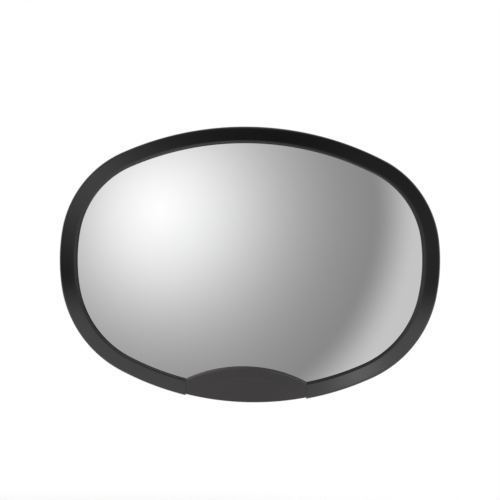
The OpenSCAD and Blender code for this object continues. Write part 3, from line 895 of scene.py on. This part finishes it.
def keep(node_name, material, edge):
    """Gives a CAD node its finish, and breaks its sharp edges with a small bevel if edge isn't zero."""
    sharp = 32
    coplanar = 0.3
    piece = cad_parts[node_name]
    if not piece.data.materials:
        piece.data.materials.append(material)
    for i in range(len(piece.data.materials)):
        piece.data.materials[i] = material
    weld = piece.modifiers.new("weld", "WELD")
    weld.merge_threshold = 1e-6
    flat = piece.modifiers.new("flat", "DECIMATE")
    flat.decimate_type = "DISSOLVE"
    flat.angle_limit = math.radians(coplanar)
    if edge:
        bevel = piece.modifiers.new("bevel", "BEVEL")
        bevel.width = edge
        bevel.segments = 2
        bevel.limit_method = "ANGLE"
        bevel.angle_limit = math.radians(sharp)
    shading = piece.modifiers.new("smooth", "WEIGHTED_NORMAL")
    shading.keep_sharp = True


for name, material, edge in (
    ("wall_pad", PAD_RUBBER, 0.4), ("wall_plate", POWDER, 0.5), ("pan_washers", ZINC, 0.2),
    ("wall_eye", CASTING, 0.6), ("pan_bushes", WHITE_NYLON, 0.2), ("arm_tube", TUBE, 0.3),
    ("arm_pins", SPRING_STEEL, 0.2), ("tilt_fork", CASTING, 0.6), ("tilt_washer", ZINC, 0.2),
    ("knob_insert", BRASS, 0.2), ("tilt_knuckle", CASTING, 0.5),
    ("friction_discs", DISC_FIBRE, 0.2), ("roll_washer", ZINC, 0.2), ("roll_screw", ZINC, 0.2),
    ("swivel_hub", HUB_NYLON, 0.5), ("hub_screws", ZINC, 0.2), ("stiffener_plate", ZINC, 0.2),
    ("back_shell", SHELL, 0.3), ("foam_pad", FOAM, 0.0), ("edge_gasket", GASKET, 0.0),
):
    keep(name, material, edge * MM)


# ---------------------------------------------------------------- floor, light and camera

def make_floor():
    """A round pale floor, well below the mirror, that fades out towards its edge."""
    radius = 7.0
    drop = 2.0
    in_front = 1.6
    fade_start = 0.35
    fade_end = 0.98
    bm = bmesh.new()
    bmesh.ops.create_circle(bm, cap_ends=True, segments=96, radius=1)
    mesh = bpy.data.meshes.new("floor")
    bm.to_mesh(mesh)
    bm.free()
    floor = bpy.data.objects.new("floor", mesh)
    floor.location = (0, radius - in_front, -drop)
    floor.scale = (radius, radius, 1)
    bpy.context.scene.collection.objects.link(floor)
    material = finish_material("floor", grey(0.80), grey(0.84), (0.8, 0.9), patch=2)
    tree = material.node_tree
    place = node(tree, "ShaderNodeTexCoord").outputs["Object"]
    far = node(tree, "ShaderNodeVectorMath", operation="LENGTH")
    tree.links.new(place, far.inputs[0])
    fade = node(tree, "ShaderNodeMapRange", interpolation_type="SMOOTHSTEP")
    fade.inputs["From Min"].default_value = fade_start
    fade.inputs["From Max"].default_value = fade_end
    tree.links.new(far.outputs["Value"], fade.inputs["Value"])
    clear = node(tree, "ShaderNodeBsdfTransparent")
    mix = node(tree, "ShaderNodeMixShader")
    tree.links.new(fade.outputs["Result"], mix.inputs["Fac"])
    tree.links.new(tree.nodes["Principled BSDF"].outputs["BSDF"], mix.inputs[1])
    tree.links.new(clear.outputs["BSDF"], mix.inputs[2])
    tree.links.new(mix.outputs["Shader"], tree.nodes["Material Output"].inputs["Surface"])
    mesh.materials.append(material)


make_floor()


def make_back_light():
    """A large soft light high behind the wall's plane, which shapes the bracket and lights the floor.

    Glossy surfaces don't show it, so that the rim gets no hard glint from behind.
    """
    data = bpy.data.lights.new("back_light", "AREA")
    data.shape = "DISK"
    data.size = 2.4
    data.energy = 150
    lamp = bpy.data.objects.new("back_light", data)
    lamp.location = (1.2, 2.2, 3.0)
    lamp.visible_glossy = False
    lamp.rotation_euler = (Vector((0, 0, 0)) - lamp.location).to_track_quat("-Z", "Y").to_euler()
    bpy.context.scene.collection.objects.link(lamp)


make_back_light()


def aim(azimuth, elevation):
    """Unit vector towards an azimuth, which is 0 along -Y and grows towards +X, and an elevation."""
    a = math.radians(azimuth)
    e = math.radians(elevation)
    return (math.sin(a) * math.cos(e), -math.cos(a) * math.cos(e), math.sin(e))


def make_room():
    """A soft studio of light that depends on direction, matched to the photo's tones from the front.

    A program fitted what the mirror shows to tones sampled from the photo's mirror, and it was then
    adjusted. What the rim shows was set one by one. Neither is the real room.

    Seen from the front, the mirror shows one set of lights and the rim another. Seen from elsewhere, the
    mirror shows parts of both. It is pale behind the object, and the camera itself sees plain white.
    """
    world = bpy.data.worlds.new("studio")
    bpy.context.scene.world = world
    world.use_nodes = True
    tree = world.node_tree
    tree.nodes.clear()
    direction = node(tree, "ShaderNodeTexCoord").outputs["Generated"]

    def value(operation, *inputs):
        """A math node on sockets and numbers."""
        made = node(tree, "ShaderNodeMath", operation=operation)
        for socket, source in zip(made.inputs, inputs):
            if isinstance(source, (int, float)):
                socket.default_value = source
            else:
                tree.links.new(source, socket)
        return made.outputs["Value"]

    def facing(towards):
        """How far the direction points towards a unit vector."""
        made = node(tree, "ShaderNodeVectorMath", operation="DOT_PRODUCT")
        tree.links.new(direction, made.inputs[0])
        made.inputs[1].default_value = towards
        return made.outputs["Value"]

    def lobe(towards, strength, tightness):
        """A soft light round a direction."""
        falloff = value("MULTIPLY", value("SUBTRACT", facing(towards), 1.0), tightness)
        return value("MULTIPLY", value("EXPONENT", falloff), strength)

    def ramp(source, low, high, strength):
        """A smooth rise from nothing at low to the strength at high."""
        made = node(tree, "ShaderNodeMapRange", interpolation_type="SMOOTHSTEP")
        tree.links.new(source, made.inputs["Value"])
        made.inputs["From Min"].default_value = low
        made.inputs["From Max"].default_value = high
        made.inputs["To Min"].default_value = 0
        made.inputs["To Max"].default_value = strength
        return made.outputs["Result"]

    def total(*lights):
        """The sum of several lights."""
        whole = lights[0]
        for light in lights[1:]:
            whole = value("ADD", whole, light)
        return whole

    def sine(degrees):
        return math.sin(math.radians(degrees))

    # What the mirror shows from the front: a big soft light high on the left, and a pale wall far round
    # to the right
    key = aim(-26.5, 14.3)
    from_key = value("ARCCOSINE", facing(key))
    far_wall = ramp(from_key, math.radians(63.8), math.radians(80.4), 0.37)
    key_light = total(lobe(aim(-39.1, 18.9), 0.155, 10.4), lobe(key, 0.70, 5.2))
    key_core = lobe(aim(-29.9, 15.9), 0.035, 200)
    shown = total(key_light, key_core, far_wall, 0.243)

    # What the rim shows from the front: a bright floor that is dimmer underfoot, a light overhead, and
    # soft lights at both sides
    height = facing((0, 0, 1))
    depth = value("MULTIPLY", height, -1.0)
    floor_light = ramp(depth, sine(3.5), sine(20), 0.88)
    low_lamp = lobe(aim(41.5, -33), 0.94, 90)
    underfoot = ramp(depth, sine(44), sine(75), 0.38)
    overhead = lobe(aim(0, 72), 0.85, 40)
    left_window = total(lobe(aim(-58, 22), 0.74, 18), lobe(aim(-30, 36), 0.10, 20))
    right_wall = total(lobe(aim(70, 6), 0.20, 7), lobe(aim(38, 31), 0.08, 30))
    lower = value("SUBTRACT", total(floor_light, low_lamp), underfoot)
    upper = total(left_window, right_wall, overhead, 0.062)

    # The border between the two is an oblong cone. A program fitted its three values to the directions
    # that the mirror's edge reflects
    power = 2.26
    cone_across = 0.842
    cone_up = 0.628
    across = value("POWER", value("ABSOLUTE", value("DIVIDE", facing((1, 0, 0)), cone_across)), power)
    up = value("POWER", value("ABSOLUTE", value("DIVIDE", height, cone_up)), power)
    cone = value("POWER", total(across, up), 1 / power)
    outside = ramp(cone, 1.003, 1.035, 1.0)
    ring = ramp(cone, 1.08, 1.25, 0.085)
    unseen = total(lower, upper, ring)
    inside = value("SUBTRACT", 1.0, outside)
    front = total(value("MULTIPLY", shown, inside), value("MULTIPLY", unseen, outside))

    # Pale all round behind the object
    behind_level = 0.9
    behind = ramp(facing((0, 1, 0)), -0.25, 0.1, 1.0)
    ahead = value("SUBTRACT", 1.0, behind)
    light = total(value("MULTIPLY", front, ahead), value("MULTIPLY", behind, behind_level))

    # Camera rays see plain white, and all other rays see the studio
    is_camera = node(tree, "ShaderNodeLightPath").outputs["Is Camera Ray"]
    for_others = value("MULTIPLY", light, value("SUBTRACT", 1.0, is_camera))
    background = node(tree, "ShaderNodeBackground")
    tree.links.new(total(is_camera, for_others), background.inputs["Strength"])
    background.inputs["Color"].default_value = (1, 1, 1, 1)
    output = node(tree, "ShaderNodeOutputWorld")
    tree.links.new(background.outputs["Background"], output.inputs["Surface"])


make_room()


def make_camera():
    """A long lens in front of the mirror, a little above its middle.

    The lens was chosen. A program fitted the place and the roll to the photo's outline for that lens, and
    the place was then moved a few millimetres.
    """
    place = Vector((-0.00027, -1.9135, 0.0156))
    roll = math.radians(1.708)
    data = bpy.data.cameras.new("camera")
    data.lens = 120
    data.sensor_width = 36
    camera = bpy.data.objects.new("camera", data)
    bpy.context.scene.collection.objects.link(camera)
    right = Vector((math.cos(roll), 0, math.sin(roll)))
    up = Vector((-math.sin(roll), 0, math.cos(roll)))
    back = Vector((0, -1, 0))
    turn = Matrix((right, up, back)).transposed()
    camera.matrix_world = Matrix.Translation(place) @ turn.to_4x4()
    bpy.context.scene.camera = camera


make_camera()
bpy.context.scene.view_settings.view_transform = "Standard"
